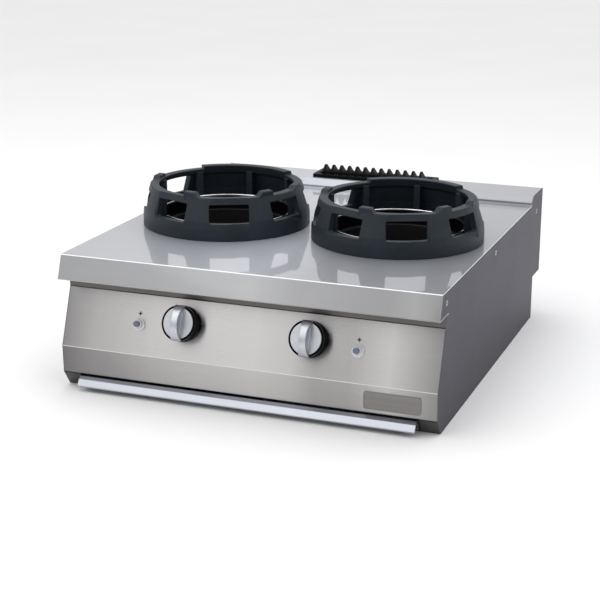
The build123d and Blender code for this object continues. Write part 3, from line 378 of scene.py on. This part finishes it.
def shade_below(made, level, dark):
    """Darken and dull a finish under a height, as painted shade in the hollow."""
    tree, bsdf, kept = painted(made)
    mask = height_mask(tree, UNDER_ALL, level, 0.0006)
    tree.links.new(blend_colour(tree, mask, kept, dark), bsdf.inputs["Base Color"])
    dull = bsdf.inputs["Roughness"].links[0].from_socket
    tree.links.new(total(tree, dull, maths(tree, "MULTIPLY", mask, 0.3)), bsdf.inputs["Roughness"])
    return made


# ---------------------------------------------------------------- finishes

worktop_polish = steel(
    "worktop_polish", (0.44, 0.455, 0.49), 0.50, spread=0.03, scratch=0.05, cloud=0.02, wear=0.0, film=1.0,
    edge_size=FINE_EDGE, levels=WORKTOP_REFLECTION_LEVELS, metal=0.35,
)
# Fascia painted warmer and banded: painted reflection, differing from the top's
painted_band_between(worktop_polish, UNDER_ALL, FASCIA_TOP, (1.0, 0.975, 0.92), FASCIA_REFLECTION_LEVELS)
fold_line(worktop_polish, FOLD_LOW, FOLD_HIGH, (0.96, 0.96, 0.98))

panel_brushed = steel(
    "panel_brushed", (0.60, 0.59, 0.585), 0.30, spread=0.03, scratch=0.06, cloud=0.012, stretch=0.8, wear=0.05,
    levels=PANEL_REFLECTION_LEVELS,
)
# Lower face painted with its own reflection bands and tint
painted_band_between(panel_brushed, UNDER_ALL, LOWER_FACE_TOP, (1.0, 0.985, 0.985), LOWER_FACE_REFLECTION_LEVELS)
fold_line(panel_brushed, CREASE_LOW, CREASE_HIGH, (0.72, 0.71, 0.71))

tray_brushed = steel(
    "tray_brushed", (0.44, 0.46, 0.50), 0.24, spread=0.03, scratch=0.1, cloud=0.02, stretch=0.5, wear=0.1
)
# Handle's top sheet painted darker: painted shade from the control panel above
painted_band_between(tray_brushed, TRAY_RIM, OVER_ALL, (0.6, 0.61, 0.63))

collar_polish = steel(
    "collar_polish", (0.82, 0.83, 0.86), 0.14, "all", spread=0.03, scratch=0.08, cloud=0.03
)
# Collar below its rim painted near black as shade
shade_below(collar_polish, HOLLOW_SHADE_TOP, (0.012, 0.012, 0.012))

finishes = {
    "worktop_steel": worktop_polish,
    "panel_steel": panel_brushed,
    # Panel steel painted dark as the shade in the recess under the fascia
    "recess_steel": steel(
        "recess_shaded", (0.13, 0.12, 0.112), 0.38, scratch=0.2, cloud=0.04, stretch=0.4, wear=0.1
    ),
    # Same stainless sheet, painted darker as shade because the side faces away from the light
    "side_steel": steel(
        "side_painted_shade", (0.150, 0.147, 0.160), 0.40, "Y", spread=0.04, scratch=0.1, cloud=0.03, stretch=0.4,
        wear=0.1, rim=(0.55, 0.55, 0.575),
    ),
    "inner_steel": steel("inner_rolled", (0.55, 0.56, 0.58), 0.30, spread=0.06, scratch=0.3, cloud=0.07),
    "pan_steel": casting("pan_primer", (0.035, 0.035, 0.032), 0.5, pit=0.00005, lump=0.0002, coat=0.1),
    "tray_steel": tray_brushed,
    "trim_steel": collar_polish,
    "bowl_enamel": casting("bowl_enamel", (0.006, 0.006, 0.007), 0.42, pit=0.00008, lump=0.0003, coat=0.1),
    "ring_iron": casting(
        "ring_enamel", (0.016, 0.023, 0.031), 0.50, pit=0.0001, lump=0.0004, tint=0.2, wear=0.03, shine=0.30
    ),
    "burner_iron": casting("burner_cast", (0.045, 0.043, 0.042), 0.62, pit=0.00025, lump=0.0008),
    "pipe_steel": turned_metal("pipe_zinc", (0.52, 0.53, 0.55), 0.36),
    "copper_pipe": turned_metal("pipe_copper", (0.72, 0.36, 0.22), 0.28),
    "brass": turned_metal("brass_turned", (0.72, 0.53, 0.24), 0.30),
    "probe_steel": turned_metal("probe_heated", (0.42, 0.38, 0.35), 0.34),
    "spark_ceramic": moulded(
        "spark_glaze", (0.82, 0.80, 0.74), 0.18, coat=0.6, speck=0.04, pores=0.00002, tint=0.04
    ),
    "knob_black": moulded("knob_gloss", (0.002, 0.002, 0.0025), 0.12, pores=0.00001, tint=0.1, shine=0.05),
    "knob_silver": turned_metal("knob_satin", (0.62, 0.64, 0.68), 0.36),
    "bezel_cream": moulded("bezel_moulded", (0.70, 0.70, 0.715), 0.25),
    "button_grey": moulded("button_moulded", (0.13, 0.15, 0.24), 0.28, coat=0.3),
    "igniter_black": moulded("igniter_case", (0.03, 0.03, 0.03), 0.5),
    "badge_metal": steel(
        "badge_satin", (0.24, 0.23, 0.225), 0.32, spread=0.04, scratch=0.3, cloud=0.05, stretch=0.3, wear=0.3,
        edge_size=0.0005,
    ),
    "grille_iron": casting(
        "grille_enamel", (0.002, 0.0022, 0.0025), 0.45, pit=0.00012, lump=0.0004, tint=0.2, wear=0.0,
        shine=0.12,
    ),
    "screw_steel": turned_metal("screw_plated", (0.60, 0.60, 0.62), 0.25),
}
for part in frame["record"]["subparts"]:
    mesh = frame["nodes"][part["node"]].data
    mesh.materials.clear()
    mesh.materials.append(finishes[part["material_slot"]])


# ---------------------------------------------------------------- printed marks

def place_in_scene(name, data):
    """New object for a mesh, a light or a camera, linked to the scene."""
    made = bpy.data.objects.new(name, data)
    bpy.context.scene.collection.objects.link(made)
    return made


def mesh_object(name, mesh):
    """New object from a bmesh, which is freed."""
    data = bpy.data.meshes.new(name)
    mesh.to_mesh(data)
    mesh.free()
    return place_in_scene(name, data)


def panel_point(x, up, out):
    """Point on the control panel: up from its crease and out from its face."""
    climb = (PANEL_TOP - PANEL_CREASE).normalized()
    leave = Vector((0, -climb.z, climb.y))
    return Vector((x, 0, 0)) + PANEL_CREASE + climb * up + leave * out


def spark_mark(name, x, up):
    """Small printed star above an igniter, as a thin raised print."""
    count = 2 * STAR_POINTS
    outline = []
    for i in range(count):
        turn = radians(90 + 360 / count * i)
        radius = STAR_NOTCH_MM if i % 2 else STAR_TIP_MM
        outline.append((radius * cos(turn), radius * sin(turn)))
    mesh = bmesh.new()
    for out in (MARK_BACK, MARK_FRONT):
        for across, along in outline:
            mesh.verts.new(panel_point(x + across / 1000, up + along / 1000, out))
    mesh.verts.ensure_lookup_table()
    mesh.faces.new([mesh.verts[i] for i in reversed(range(count))])
    mesh.faces.new([mesh.verts[count + i] for i in range(count)])
    for i in range(count):
        j = (i + 1) % count
        mesh.faces.new([mesh.verts[i], mesh.verts[j], mesh.verts[count + j], mesh.verts[count + i]])
    bmesh.ops.recalc_face_normals(mesh, faces=mesh.faces)
    bmesh.ops.triangulate(mesh, faces=mesh.faces)
    piece = mesh_object(name, mesh)
    piece.data.materials.append(finishes["igniter_black"])
    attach(piece, "body")


spark_mark("spark_mark_left", -MARK_X, MARK_UP)
spark_mark("spark_mark_right", MARK_X, MARK_UP)


# ---------------------------------------------------------------- studio

def studio_floor():
    """Wide pale floor."""
    mesh = bmesh.new()
    bmesh.ops.create_grid(mesh, x_segments=8, y_segments=8, size=FLOOR_HALF)
    floor = mesh_object("studio_floor", mesh)
    made, tree, bsdf = shader("studio_floor_paint")
    patch = remap(tree, noise(tree, 2.0), 0, 1)
    base = blend_colour(tree, patch, FLOOR_DARK, FLOOR_LIGHT)
    tree.links.new(base, bsdf.inputs["Base Color"])
    bsdf.inputs["Roughness"].default_value = 0.9
    bsdf.inputs["Specular IOR Level"].default_value = 0.1
    floor.data.materials.append(made)


def studio_sky():
    """Even studio surround with soft upright bands in front, on the cook's left."""
    world = bpy.data.worlds.new("studio_sky")
    bpy.context.scene.world = world
    world.use_nodes = True
    tree = world.node_tree
    back = tree.nodes["Background"]
    towards = parts_of(tree, "Generated")
    rise = ramp(tree, towards["Z"], SKY_RISE)
    bands = ramp(tree, maths(tree, "DIVIDE", towards["X"], towards["Y"]), SKY_BANDS)
    ahead = remap(tree, towards["Y"], 1.0, 0.0, SKY_BANDS_FULL, SKY_BANDS_GONE)
    banded = blend_colour(tree, ahead, (1, 1, 1), bands)
    shade = add(tree, "ShaderNodeVectorMath", operation="MULTIPLY")
    tree.links.new(rise, shade.inputs[0])
    tree.links.new(banded, shade.inputs[1])
    tree.links.new(shade.outputs[0], back.inputs["Color"])
    back.inputs["Strength"].default_value = 1.0


def soft_box(name, place, aim, size, watts, tint):
    """Rectangular studio light that looks at a point."""
    data = bpy.data.lights.new(name, "AREA")
    data.shape = "RECTANGLE"
    data.size, data.size_y = size
    data.energy = watts
    data.color = tint
    light = place_in_scene(name, data)
    light.location = place
    light.rotation_mode = "QUATERNION"
    light.rotation_quaternion = (Vector(aim) - Vector(place)).to_track_quat("-Z", "Y")


def camera():
    """Camera at the photograph's viewing angle."""
    azimuth, elevation, roll = (radians(a) for a in (CAMERA_AZIMUTH, CAMERA_ELEVATION, CAMERA_ROLL))
    back = Vector((sin(azimuth) * cos(elevation), -cos(azimuth) * cos(elevation), sin(elevation)))
    level = Vector((0, 0, 1)).cross(back).normalized()
    tall = back.cross(level)
    right = level * cos(roll) + tall * sin(roll)
    up = tall * cos(roll) - level * sin(roll)
    place = back * CAMERA_DISTANCE + right * CAMERA_ACROSS + up * CAMERA_ABOVE
    data = bpy.data.cameras.new("camera")
    data.sensor_width = SENSOR_MM
    data.lens = LENS_MM
    data.clip_end = CAMERA_FAR
    made = place_in_scene("camera", data)
    made.matrix_world = Matrix.Translation(place) @ Matrix((right, up, back)).transposed().to_4x4()
    bpy.context.scene.camera = made


studio_floor()
studio_sky()
for light in LIGHTS:
    soft_box(*light)
camera()
bpy.context.scene.view_settings.view_transform = "Standard"

bpy.context.view_layer.update()
